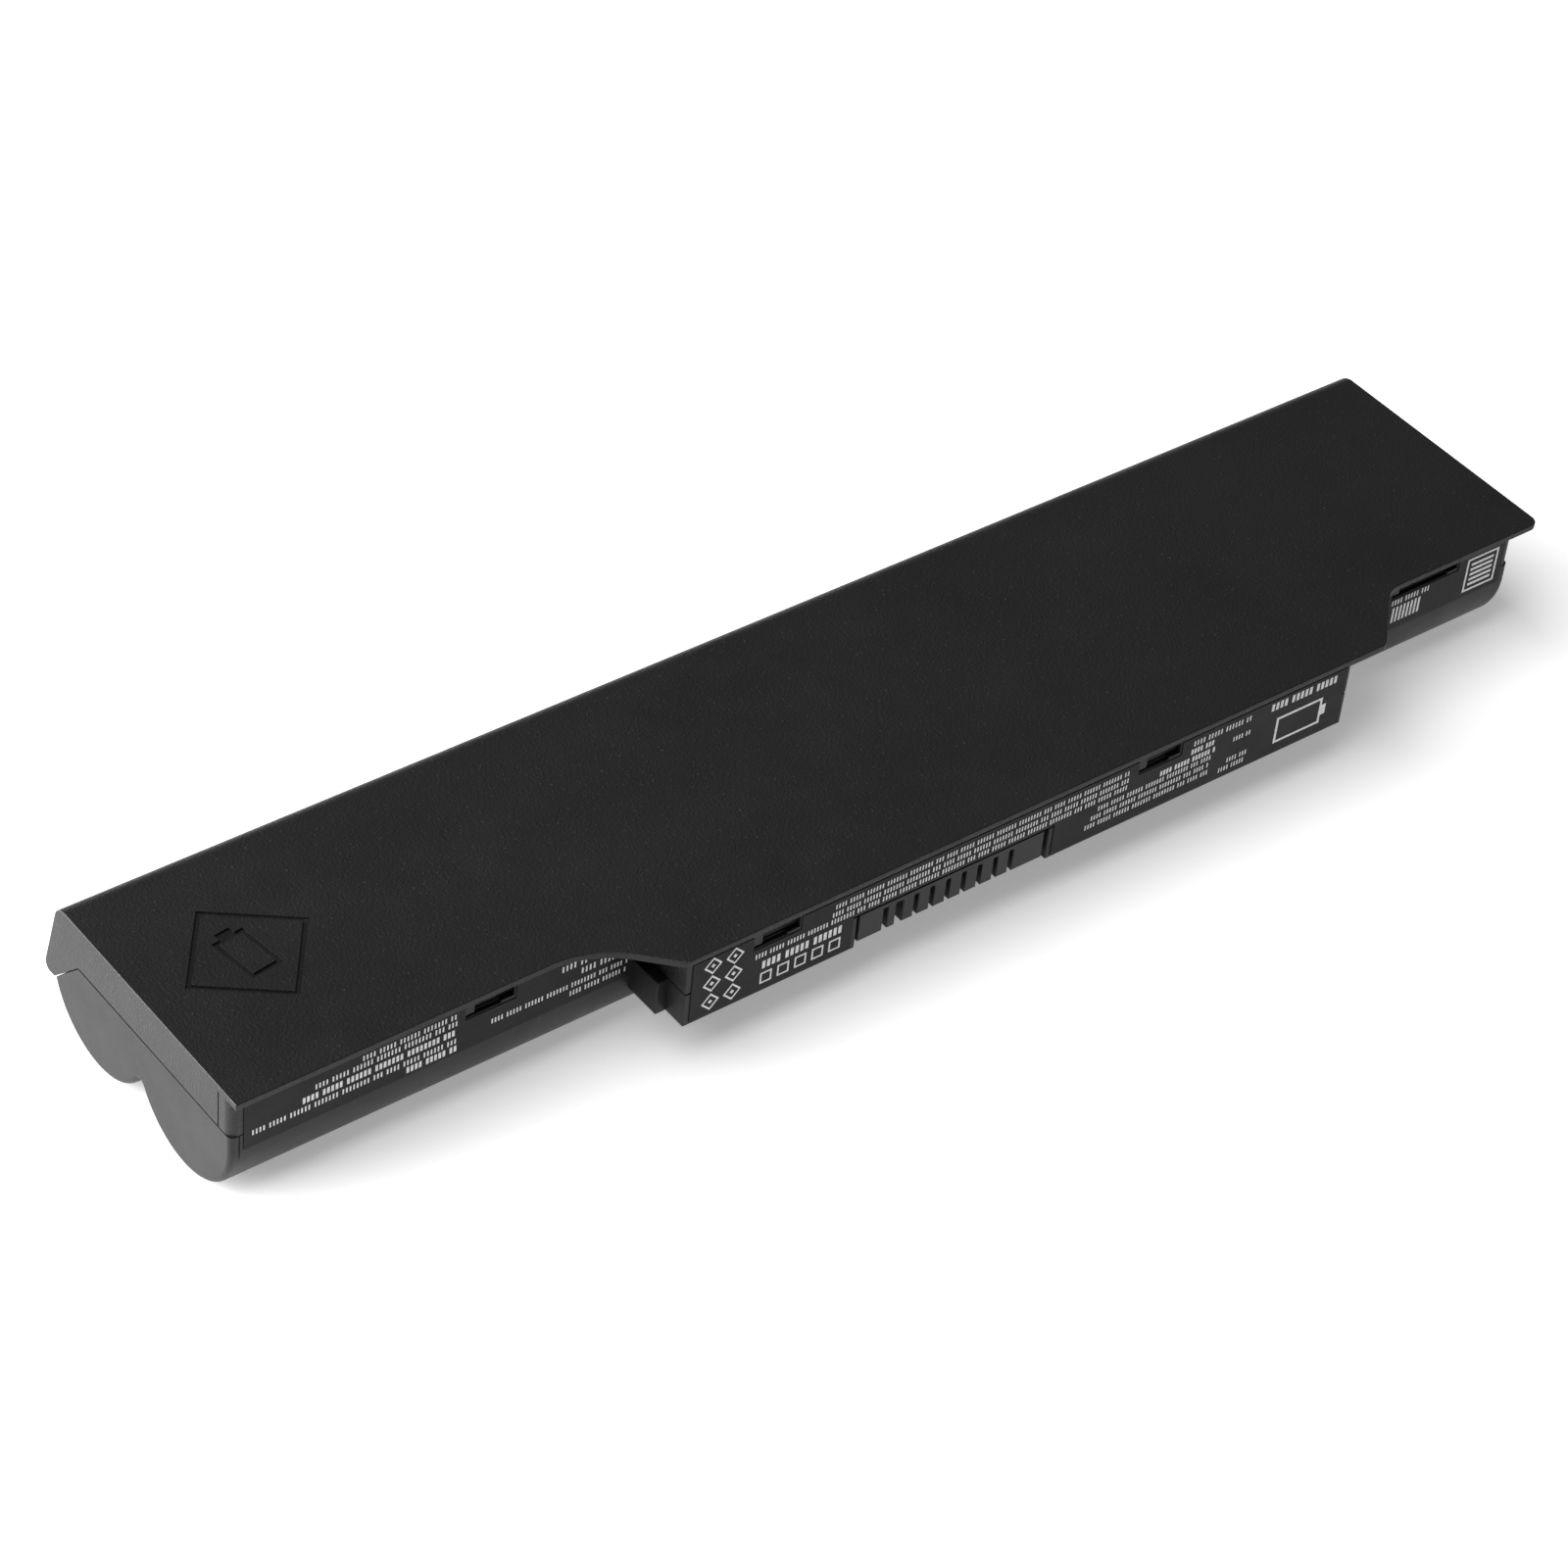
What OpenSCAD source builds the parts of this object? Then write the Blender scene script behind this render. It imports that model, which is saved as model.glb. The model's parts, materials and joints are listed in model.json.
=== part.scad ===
// Six-cell laptop battery pack: overhanging cover plate, double-lobed tub,
// connector block with a comb connector, cells, straps and protection board.
// Millimetres. +X runs along the pack, -Y is the connector side, +Z is up.
// The origin is the bottom centre of the pack.

/* [Cover plate] */
// Length of the cover plate
plate_len = 220; // [218:1:240]
// Thickness of the cover plate
plate_t = 1.0; // [0.8:0.1:1.2]
// Height of the pack from the lobes' lowest line to the plate's top
pack_h = 20.6; // [20.6:0.1:22]
// Forward reach of the plate over the connector block
nose_reach = 8.9; // [8.6:0.1:10]
// Start of the nose along the plate, at its front edge
nose_x0 = 61; // [60.5:0.5:61.5]
// End of the nose along the plate, at its front edge
nose_x1 = 181.6; // [178:0.2:185]

/* [Case] */
// Thickness of the case walls
wall = 1.2; // [1:0.1:1.2]
// Setback of the front wall behind the plate's edge
front_setback = 1.3; // [1.2:0.1:1.4]
// Overhang of the plate past the right end wall
end_overhang = 3.3; // [3:0.1:4]
// Height of the joint line between cover and tub
seam_z = 13.6; // [13.4:0.1:13.7]
// Width of the visible joint line
seam_gap = 0.15; // [0.1:0.05:0.2]
// Rise of the rear curtain's lower edge above the lobes' lowest line
curtain_z = 7.4; // [7:0.1:7.6]

/* [Cells] */
// Diameter of one sleeved cell
cell_d = 18.3; // [18:0.1:18.3]
// Length of one cell over its cap
cell_len = 65; // [64:0.5:65]
// Distance between the two rows of cells
row_pitch = 20.4; // [20.2:0.1:20.6]
// Distance between neighbouring cells in a row
cell_pitch = 66.6; // [66.5:0.1:67]

/* [Connector block] */
// Left end of the block
block_x0 = 61.9; // [61.5:0.1:62.2]
// Right end of the block
block_x1 = 176.2; // [174:0.2:178]
// Underside of the block
block_z = 8.05; // [7.9:0.05:8.2]
// Distance between neighbouring connector slots
slot_pitch = 2.69; // [2.6:0.01:2.7]
// Width of one connector slot
slot_w = 0.8; // [0.7:0.1:0.9]

/* [Hidden] */
$fn = 64;
eps = 0.01;

// Case section
lobe_r = 11;
lobe_in_r = lobe_r - 1.1;
lobe_z = lobe_r;
row_y = [front_setback + lobe_r, front_setback + lobe_r + row_pitch];
valley_y = (row_y[0] + row_y[1]) / 2;
valley_r = 0.67;
valley_z = 6 - valley_r;
ridge_z = 8.6;
plate_z = pack_h - plate_t;
back_top_y = 40;
back_slope_y = 42.6;
back_slope_foot = [45.4, curtain_z + 1.3];
depth_y = back_slope_foot[0];
rear_top_r = 2.8;
rear_top_stop = 22;
curtain_foot_r = 1.2;
curtain_foot_in = 1.25;
slope_wall = wall + 0.3;
beyond = 80;
seam_turn_y = 37;
seam_foot_y = row_y[1] + sqrt(pow(lobe_r, 2) - pow(lobe_z - curtain_z, 2));
body_x1 = plate_len - end_overhang;
cavity_x1 = body_x1 - 2 * wall;
corner_r = 1.5;
foot_r_left = 1.2;
foot_r_right = 4;

// Nose outline of the plate
nose_slope = 45;
nose_base_x0 = nose_x0 - nose_reach;
nose_base_x1 = nose_x1 + nose_reach;
inner_r_left = 14;
inner_r_right = 4.5;
outer_r = 1.5;
arc_steps = 10;

// Block
block_y = -nose_reach + 1;
rail_w = 1.6;
rail_y = -4.2;
recess_x0 = 89.8;
recess_x1 = 122.3;
recess_top = seam_z - seam_gap;

// Latch slots of the host's hooks, as [centre along X, width, height, lower edge's depth below the top]
latch_left = [38.8, 6, 1.7, 3.9];
latch_right = [199.9, 11.4, 1.0, 3.3];
latch_block = [[77, 6, 1.7, 3.9], [142, 6, 1.7, 3.9]];
latch_lip = 1.3;
latch_lip_h = 0.35;
latch_lip_stop = 2;
latch_back = 0.4;

// Labels
label_t = 0.12;
label_inset = 0.25;
label_top = pack_h - 2.2;

// Mark sunk into the plate
mark_at = [15.5, 22];
mark_turn = 8;
mark_depth = 0.35;
mark_line = 0.7;
mark_side = 13.5;
mark_cell = [5, 8];
mark_nub = [2.4, 2.2];

// Joint drawn on the left end wall
end_joint_y = [3.9, 4.15];
end_joint_depth = 0.25;

// Connector
comb_x0 = recess_x0 + 0.5;
comb_x1 = recess_x1 - 0.6;
comb_z0 = block_z + 0.7;
comb_z1 = recess_top - 0.1;
comb_y0 = block_y + 0.1;
comb_y1 = 0.9;
first_slot_x = 99.9;
contact_count = 7;
key_slots = [[94.4, 95.2], [96.5, 97.7]];
lip_depth = 0.8;
chamber_w = 1.7;
chamber_y0 = comb_y0 + lip_depth;
chamber_y1 = -1.2;
chamber_z0 = comb_z0 + 0.7;
chamber_z1 = comb_z1 - 0.8;

// Contact leaves: hinge line of each leaf is parallel to Z
leaf_t = 0.2;
leaf_root_r = 0.35;
leaf_root_y = -2.6;
leaf_tip_y = chamber_y0 + 0.35;
leaf_dx = 0.42;
leaf_gap_z = 0.3;
leaf_bump_r = 0.25;
socket_gap = 0.06;

// Board
board_t = 1;
board_z = seam_z + 0.3;
board_x0 = 66;
board_x1 = 172;
board_y0 = block_y + wall + 0.3;
board_y1 = 2.6;
board_top = board_z + board_t;
chip_y = -2;
small_x = [94.5, 97.5, 110, 113];

// Cells
cell_z = plate_z - 0.1 - cell_d / 2;
sleeve_t = 0.15;
can_r = cell_d / 2 - sleeve_t;
can_t = 0.25;
stack_len = 2 * cell_pitch + cell_len;
cell_x0 = (wall + cavity_x1 - stack_len) / 2;
cap_r = 3.8;
cap_base_r = 4.5;
end_lip = 0.1;

// Straps
strap_t = 0.15;
strap_z0 = ridge_z + 0.3;
strap_z1 = board_top + strap_t;
strap_y0 = row_y[0] - 4;
strap_y1 = row_y[1] + 4;
tab_y = 4;
tab_w = 2;
tap_z0 = strap_z1 - strap_t;
paper_t = 0.3;
paper_r = 7.3;
foam_r = 8.8;
wire_r = 0.6;
wire_y = 5.4;
wire_z = plate_z - 1;

function arc(c, r, a0, a1) =
    [for (i = [0:arc_steps]) c + r * [cos(a0 + (a1 - a0) * i / arc_steps),
                                      sin(a0 + (a1 - a0) * i / arc_steps)]];
function run(a) = a * tan(nose_slope / 2);
function gap_x(k) = cell_x0 + k * cell_pitch;
function slot_x(k) = first_slot_x + k * slot_pitch;

module place() {
    translate([-plate_len / 2, (nose_reach - depth_y) / 2, 0]) children();
}

// Draws a Y-Z outline and runs it along X
module along_x(x0, x1) {
    translate([x0, 0, 0]) rotate([90, 0, 90]) linear_extrude(x1 - x0) children();
}

module box(a, b) {
    translate(a) cube(b - a);
}

// Disc or tube with its axis along X
module bar_x(x0, x1, r, y, z) {
    translate([x0, y, z]) rotate([0, 90, 0]) cylinder(h = x1 - x0, r = r);
}

module plate_outline() {
    left_in = [nose_base_x0 - run(inner_r_left), -inner_r_left];
    right_in = [nose_base_x1 + run(inner_r_right), -inner_r_right];
    left_out = [nose_x0 + run(outer_r), -nose_reach + outer_r];
    right_out = [nose_x1 - run(outer_r), -nose_reach + outer_r];
    polygon(concat(
        [[0, 0]],
        arc(left_in, inner_r_left, 90, 45),
        arc(left_out, outer_r, 225, 270),
        arc(right_out, outer_r, 270, 315),
        arc(right_in, inner_r_right, 135, 90),
        arc([plate_len - corner_r, corner_r], corner_r, -90, 0),
        [[plate_len, back_top_y + 1], [0, back_top_y + 1]]));
}

module rear_profile() {
    polygon(concat(
        [[back_top_y, plate_z], [back_top_y, pack_h]],
        arc([back_top_y, pack_h - rear_top_r], rear_top_r, 90, rear_top_stop),
        [back_slope_foot],
        arc([depth_y - curtain_foot_in, curtain_z + curtain_foot_r], curtain_foot_r, 0, -90),
        [[seam_foot_y, curtain_z], [seam_turn_y, seam_z], [seam_turn_y, plate_z]]));
}

// Lower halves of the two lobes
module lobes(r) {
    for (y = row_y) intersection() {
        translate([y, lobe_z]) circle(r);
        translate([y - r, lobe_z - r]) square([2 * r, r + eps]);
    }
}

module valley_fill() {
    difference() {
        translate([valley_y - 1, valley_z]) square([2, 3]);
        translate([valley_y, valley_z]) circle(valley_r);
    }
}

module body_profile() {
    lobes(lobe_r);
    valley_fill();
    translate([front_setback, lobe_z]) square([back_top_y - front_setback, plate_z - lobe_z]);
    rear_profile();
}

module cavity_profile() {
    lobes(lobe_in_r);
    polygon([[front_setback + wall, lobe_z], [row_y[1] + lobe_in_r, lobe_z],
        [back_slope_y - slope_wall, plate_z], [front_setback + wall, plate_z]]);
    translate([valley_y - 2, ridge_z]) square([4, lobe_z - ridge_z + eps]);
}

module seam_region(lower) {
    s = lower ? -seam_gap / 2 : seam_gap / 2;
    far = lower ? -beyond : beyond;
    polygon([[-beyond, far], [-beyond, seam_z + s], [seam_turn_y, seam_z + s],
        [seam_foot_y + s, curtain_z + s], [beyond, curtain_z + s], [beyond, far]]);
}

// Plan and side outlines that round the corners of the body
module body_bounds() {
    intersection() {
        translate([0, 0, -1]) linear_extrude(pack_h + 2) union() {
            translate([corner_r, front_setback]) square([body_x1 - 2 * corner_r, beyond]);
            translate([0, front_setback + corner_r]) square([body_x1, beyond]);
            for (x = [corner_r, body_x1 - corner_r])
                translate([x, front_setback + corner_r]) circle(corner_r);
        }
        translate([0, beyond, 0]) rotate([90, 0, 0]) linear_extrude(2 * beyond) union() {
            translate([foot_r_left, 0]) square([body_x1 - foot_r_left - foot_r_right, beyond]);
            translate([0, foot_r_left]) square([foot_r_left, beyond]);
            translate([body_x1 - foot_r_right - eps, foot_r_right]) square([foot_r_right + eps, beyond]);
            translate([foot_r_left, foot_r_left]) circle(foot_r_left);
            translate([body_x1 - foot_r_right, foot_r_right]) circle(foot_r_right);
        }
    }
}

module latch_cut(slot, y) {
    z = pack_h - slot[3];
    half = slot[1] / 2;
    box([slot[0] - half, y - 1, z], [slot[0] + half, y + wall - latch_back, z + slot[2]]);
    box([slot[0] - half - latch_lip, y - 1, z - latch_lip_h],
        [slot[0] + half - latch_lip_stop, y + wall / 2, z + eps]);
}

module latch_cuts() {
    latch_cut(latch_left, front_setback);
    latch_cut(latch_right, front_setback);
    for (slot = latch_block) latch_cut(slot, block_y);
}

// Diamond frame round a plain battery outline, sunk into the plate
module plate_mark() {
    line = [mark_line, mark_line];
    translate([mark_at[0], mark_at[1], pack_h - mark_depth]) linear_extrude(1) rotate(mark_turn) {
        rotate(45) difference() {
            square(mark_side + mark_line, center = true);
            square(mark_side - mark_line, center = true);
        }
        difference() {
            union() {
                square(mark_cell, center = true);
                translate([0, mark_cell[1] / 2]) square(mark_nub, center = true);
            }
            square(mark_cell - 2 * line, center = true);
        }
    }
}

module upper_cover() color([0.17, 0.17, 0.17]) place() {
    difference() {
        union() {
            translate([0, 0, plate_z]) linear_extrude(plate_t) plate_outline();
            intersection() {
                body_bounds();
                along_x(0, body_x1) intersection() {
                    body_profile();
                    seam_region(false);
                }
            }
            along_x(0, plate_len) rear_profile_skin();
            box([block_x0, block_y, seam_z + seam_gap / 2], [block_x1, row_y[0], plate_z + eps]);
        }
        along_x(wall, cavity_x1) cavity_profile();
        box([block_x0 + wall, block_y + wall, 0], [block_x1 - wall, row_y[0] + eps, plate_z]);
        latch_cuts();
        plate_mark();
        box([-1, end_joint_y[0], seam_z], [end_joint_depth, end_joint_y[1], plate_z]);
    }
}

// Outer skin of the rear curtain
module rear_profile_skin() {
    difference() {
        rear_profile();
        translate([-wall, -wall]) rear_profile();
        seam_region(true);
        translate([0, -beyond]) square([back_slope_y - slope_wall, beyond + plate_z]);
    }
}

module lower_case() color([0.2, 0.2, 0.2]) place() {
    difference() {
        union() {
            intersection() {
                body_bounds();
                along_x(0, body_x1) intersection() {
                    body_profile();
                    seam_region(true);
                }
            }
            box([block_x0, block_y, block_z], [block_x1, front_setback + wall, seam_z - seam_gap / 2]);
            box([block_x0 - rail_w, rail_y, block_z],
                [block_x0 + eps, front_setback + wall, seam_z - seam_gap / 2]);
        }
        along_x(wall, cavity_x1) cavity_profile();
        box([block_x0 + wall, block_y + wall, block_z + wall],
            [block_x1 - wall, front_setback, seam_z + 1]);
        box([recess_x0, block_y - 1, block_z - 1], [recess_x1, comb_y1 - wall, seam_z + 1]);
    }
}

module label_blank(x0, x1, y, z0, z1) {
    box([x0, y - label_t, z0], [x1, y, z1]);
}

module label_left() color([0.24, 0.24, 0.24]) place() {
    difference() {
        label_blank(1.9, block_x0 - rail_w - 0.6, front_setback, lobe_z, label_top);
        latch_clear(latch_left, front_setback);
    }
}

module latch_clear(slot, y) {
    half = slot[1] / 2 + label_inset;
    box([slot[0] - half - latch_lip, y - 2, pack_h - slot[3] - latch_lip_h - label_inset],
        [slot[0] + half, y + 1, pack_h]);
}

module label_block() color([0.24, 0.24, 0.24]) place() {
    difference() {
        label_blank(block_x0 + 0.9, block_x1 - 0.6, block_y, block_z + 0.5, label_top);
        box([recess_x0 - 0.8, block_y - 1, 0], [recess_x1 + 0.8, 0, seam_z + 0.5]);
        for (slot = latch_block) latch_clear(slot, block_y);
    }
}

module label_right() color([0.24, 0.24, 0.24]) place() {
    difference() {
        label_blank(block_x1 + 1.2, body_x1 - 1.7, front_setback, lobe_z, label_top);
        latch_clear(latch_right, front_setback);
    }
}

module slot_cut(x, w) {
    box([x - w / 2, comb_y0 - 1, comb_z0 - 1], [x + w / 2, chamber_y1, chamber_z1]);
}

module connector_housing() color([0.12, 0.12, 0.12]) place() {
    difference() {
        box([comb_x0, comb_y0, comb_z0], [comb_x1, comb_y1 - wall - 0.1, comb_z1]);
        for (s = key_slots) slot_cut((s[0] + s[1]) / 2, s[1] - s[0]);
        for (k = [0:contact_count - 1]) {
            slot_cut(slot_x(k), slot_w);
            box([slot_x(k) - chamber_w / 2, chamber_y0, chamber_z0],
                [slot_x(k) + chamber_w / 2, chamber_y1, chamber_z1]);
        }
    }
}

// Fixed part of each contact, with the socket of its leaf
module contact_bases() color([0.85, 0.7, 0.35]) place() {
    for (k = [0:contact_count - 1]) difference() {
        box([slot_x(k) - chamber_w / 2 + 0.1, leaf_root_y, chamber_z0 + 0.1],
            [slot_x(k) + chamber_w / 2 - 0.1, chamber_y1, chamber_z1 - 0.1]);
        translate([slot_x(k) + leaf_dx, leaf_root_y, 0])
            cylinder(h = pack_h, r = leaf_root_r + socket_gap);
        box([slot_x(k) - chamber_w, leaf_root_y - 1, 0],
            [slot_x(k) + leaf_dx + 0.02, chamber_y1 - 0.6, pack_h]);
    }
}

module contact_leaf(k) color([0.9, 0.75, 0.4]) place() {
    x = slot_x(k - 1) + leaf_dx;
    z0 = chamber_z0 + leaf_gap_z;
    h = chamber_z1 - chamber_z0 - 2 * leaf_gap_z;
    translate([x, leaf_root_y, z0]) cylinder(h = h, r = leaf_root_r);
    box([x - leaf_t / 2, leaf_tip_y, z0], [x + leaf_t / 2, leaf_root_y, z0 + h]);
    translate([x - leaf_t / 2, leaf_tip_y + leaf_bump_r, z0]) cylinder(h = h, r = leaf_bump_r);
}

module circuit_board() color([0.05, 0.3, 0.15]) place() {
    box([board_x0, board_y0, board_z], [board_x1, board_y1, board_top]);
}

// Rectangular component standing on the board, given its centre
module chip(x, y, size) {
    translate([x - size[0] / 2, y - size[1] / 2, board_top]) cube(size);
}

module mosfets() color([0.1, 0.1, 0.1]) place() {
    for (x = [128, 136]) chip(x, chip_y, [4.9, 3.9, 1.5]);
}

module gauge_chip() color([0.12, 0.12, 0.12]) place() chip(88, chip_y, [6.5, 4.4, 1.1]);

module protector_chip() color([0.12, 0.12, 0.12]) place() chip(104, chip_y, [5, 4.4, 1.1]);

module chip_fuse() color([0.85, 0.85, 0.8]) place() chip(150, chip_y, [6, 3, 1.2]);

module shunt_resistor() color([0.25, 0.25, 0.25]) place() chip(118, chip_y, [6.3, 3.2, 0.7]);

module chip_capacitors() color([0.7, 0.55, 0.4]) place() {
    for (x = small_x) chip(x, -0.6, [1, 1.8, 0.9]);
}

module chip_resistors() color([0.1, 0.1, 0.12]) place() {
    for (x = small_x) chip(x, -4.2, [1, 1.8, 0.5]);
}

module thermistor() color([0.15, 0.15, 0.15]) place() {
    bead = [123.5, 4.2, 17];
    lead_len = 3.4;
    translate(bead) sphere(1.05);
    for (dx = [-0.5, 0.5]) translate([bead[0] + dx, bead[1] - lead_len, board_top]) {
        cylinder(h = bead[2] - board_top, r = 0.2);
        translate([0, 0, bead[2] - board_top]) rotate([-90, 0, 0]) cylinder(h = lead_len, r = 0.2);
    }
}

module thermal_cutoff() color([0.75, 0.75, 0.7]) place() chip(160, chip_y, [7, 3, 1.3]);

// Pair of discs with a bridge, spanning both rows
module twin_disc(x0, x1, r) {
    for (y = row_y) bar_x(x0, x1, r, y, cell_z);
    box([x0, row_y[0], strap_z0], [x1, row_y[1], strap_z1]);
}

module strap_plate(x) {
    box([x, strap_y0, strap_z0], [x + strap_t, strap_y1, strap_z1]);
}

module strap_negative() color([0.75, 0.75, 0.72]) place() {
    strap_plate(cell_x0 - end_lip - strap_t);
    box([cell_x0 - end_lip - strap_t, tab_y, strap_z1 - tab_w],
        [cell_x0 - end_lip, strap_y0 + eps, strap_z1]);
}

module strap_positive() color([0.75, 0.75, 0.72]) place() {
    strap_plate(gap_x(2) + cell_len);
    box([gap_x(2) + cell_len, tab_y, strap_z1 - tab_w],
        [gap_x(2) + cell_len + strap_t, strap_y0 + eps, strap_z1]);
}

// Folded strap in a gap between cells, with a tab forward to the board
module strap_tap(k) color([0.75, 0.75, 0.72]) place() {
    a = gap_x(k - 1) + cell_len;
    b = gap_x(k) - end_lip - strap_t;
    strap_plate(a);
    strap_plate(b);
    box([a, strap_y0, tap_z0], [b + strap_t, strap_y1, tap_z0 + strap_t]);
    box([a, board_y1 - 3, tap_z0], [b + strap_t, strap_y0 + eps, tap_z0 + strap_t]);
}

module strap_tap_1() strap_tap(1);
module strap_tap_2() strap_tap(2);

// Round wire through a list of points
module wire(points) {
    for (i = [0:len(points) - 2]) {
        d = points[i + 1] - points[i];
        translate(points[i]) rotate([0, acos(d[2] / norm(d)), atan2(d[1], d[0])])
            cylinder(h = norm(d), r = wire_r);
    }
    for (i = [1:len(points) - 2]) translate(points[i]) sphere(wire_r + 0.05);
}

module wire_negative() color([0.05, 0.05, 0.05]) place() {
    x = cell_x0 - end_lip - strap_t;
    wire([[x, 5, cell_z + 3], [x - 1, 5, cell_z + 3], [x - 1, wire_y, wire_z],
        [board_x0 + 3, wire_y, wire_z], [board_x0 + 5, 1, wire_z - 1], [board_x0 + 5, 1, board_top]]);
}

module wire_positive() color([0.7, 0.08, 0.06]) place() {
    x = gap_x(2) + cell_len + strap_t;
    wire([[x, 5, cell_z + 3], [x + 1, 5, cell_z + 3], [x + 1, wire_y, wire_z],
        [board_x1 - 3, wire_y, wire_z], [board_x1 - 5, 1, wire_z - 1], [board_x1 - 5, 1, board_top]]);
}

module insulator_left() color([0.9, 0.88, 0.8]) place() {
    x = cell_x0 - end_lip - strap_t - 0.05;
    difference() {
        twin_disc(x - paper_t, x, paper_r);
        box([x - 1, 0, cell_z + 1.8], [x + 1, 6.5, pack_h]);
    }
}

module insulator_right() color([0.9, 0.88, 0.8]) place() {
    x = gap_x(2) + cell_len + strap_t + 0.05;
    difference() {
        twin_disc(x, x + paper_t, paper_r);
        box([x - 1, 0, cell_z + 1.8], [x + 1, 6.5, pack_h]);
    }
}

module insulator_mid(k) color([0.9, 0.88, 0.8]) place() {
    x = (gap_x(k - 1) + cell_len + gap_x(k) - end_lip) / 2;
    intersection() {
        twin_disc(x - paper_t / 2, x + paper_t / 2, paper_r);
        box([x - 1, -10, 0], [x + 1, 60, tap_z0 - 0.1]);
    }
}

module insulator_mid_1() insulator_mid(1);
module insulator_mid_2() insulator_mid(2);

module foam_pad_left() color([0.3, 0.3, 0.32]) place() {
    twin_disc(wall + 0.1, cell_x0 - 2.4, foam_r);
}

module foam_pad_right() color([0.3, 0.3, 0.32]) place() {
    twin_disc(gap_x(2) + cell_len + 2.2, cavity_x1 - 0.1, foam_r);
}

// Puts a cell's own shapes at cell number n: 1 to 3 in front, 4 to 6 behind
module at_cell(n) {
    place() translate([gap_x((n - 1) % 3), row_y[n > 3 ? 1 : 0], cell_z]) rotate([0, 90, 0]) children();
}

module ring(z0, z1, r_in, r_out) {
    translate([0, 0, z0]) difference() {
        cylinder(h = z1 - z0, r = r_out);
        translate([0, 0, -eps]) cylinder(h = z1 - z0 + 2 * eps, r = r_in);
    }
}

module cell_can(n) color([0.7, 0.71, 0.72]) at_cell(n) {
    ring(0.3 - eps, cell_len - 0.5, can_r - can_t, can_r);
    cylinder(h = 0.3, r = can_r);
    ring(cell_len - 0.8, cell_len - 0.5, can_r - 1.4, can_r - can_t + eps);
}

module cell_sleeve(n) color([0.1, 0.45, 0.3]) at_cell(n) {
    ring(-end_lip, cell_len - 0.2, can_r, cell_d / 2);
    ring(-end_lip, 0, can_r - 1.2, can_r + eps);
    ring(cell_len - 0.3, cell_len - 0.2, can_r - 1.2, can_r + eps);
}

module cell_cores() color([0.35, 0.2, 0.12]) for (n = [1:6]) at_cell(n) {
    ring(0.8, cell_len - 5, 1.5, can_r - can_t - 0.1);
}

module cell_gaskets() color([0.15, 0.15, 0.17]) for (n = [1:6]) at_cell(n) {
    ring(cell_len - 1.8, cell_len - 0.85, cap_base_r + 0.02, can_r - can_t - 0.02);
}

module cell_caps() color([0.8, 0.8, 0.8]) for (n = [1:6]) at_cell(n) {
    translate([0, 0, cell_len - 1.8]) cylinder(h = 1.1, r = cap_base_r);
    translate([0, 0, cell_len - 0.8]) cylinder(h = 0.8, r = cap_r);
}

module cell_end_rings() color([0.92, 0.92, 0.9]) for (n = [1:6]) at_cell(n) {
    ring(cell_len - 0.5, cell_len - 0.3, cap_r + 0.5, can_r - 0.05);
}

upper_cover();
lower_case();
label_left();
label_block();
label_right();
connector_housing();
contact_bases();
contact_leaf(1);  // contact_leaf_1
contact_leaf(2);  // contact_leaf_2
contact_leaf(3);  // contact_leaf_3
contact_leaf(4);  // contact_leaf_4
contact_leaf(5);  // contact_leaf_5
contact_leaf(6);  // contact_leaf_6
contact_leaf(7);  // contact_leaf_7
circuit_board();
mosfets();
gauge_chip();
protector_chip();
chip_fuse();
shunt_resistor();
chip_capacitors();
chip_resistors();
thermistor();
thermal_cutoff();
strap_negative();
strap_tap_1();
strap_tap_2();
strap_positive();
wire_negative();
wire_positive();
insulator_left();
insulator_mid_1();
insulator_mid_2();
insulator_right();
foam_pad_left();
foam_pad_right();
cell_can(1);  // cell_can_1
cell_can(2);  // cell_can_2
cell_can(3);  // cell_can_3
cell_can(4);  // cell_can_4
cell_can(5);  // cell_can_5
cell_can(6);  // cell_can_6
cell_sleeve(1);  // cell_sleeve_1
cell_sleeve(2);  // cell_sleeve_2
cell_sleeve(3);  // cell_sleeve_3
cell_sleeve(4);  // cell_sleeve_4
cell_sleeve(5);  // cell_sleeve_5
cell_sleeve(6);  // cell_sleeve_6
cell_cores();
cell_gaskets();
cell_caps();
cell_end_rings();
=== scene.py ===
"""Laptop battery pack: case shells, materials, prints, studio and camera around the CAD frame."""
import json
import math

import bmesh
import bpy
from mathutils import Matrix, Vector


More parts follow.
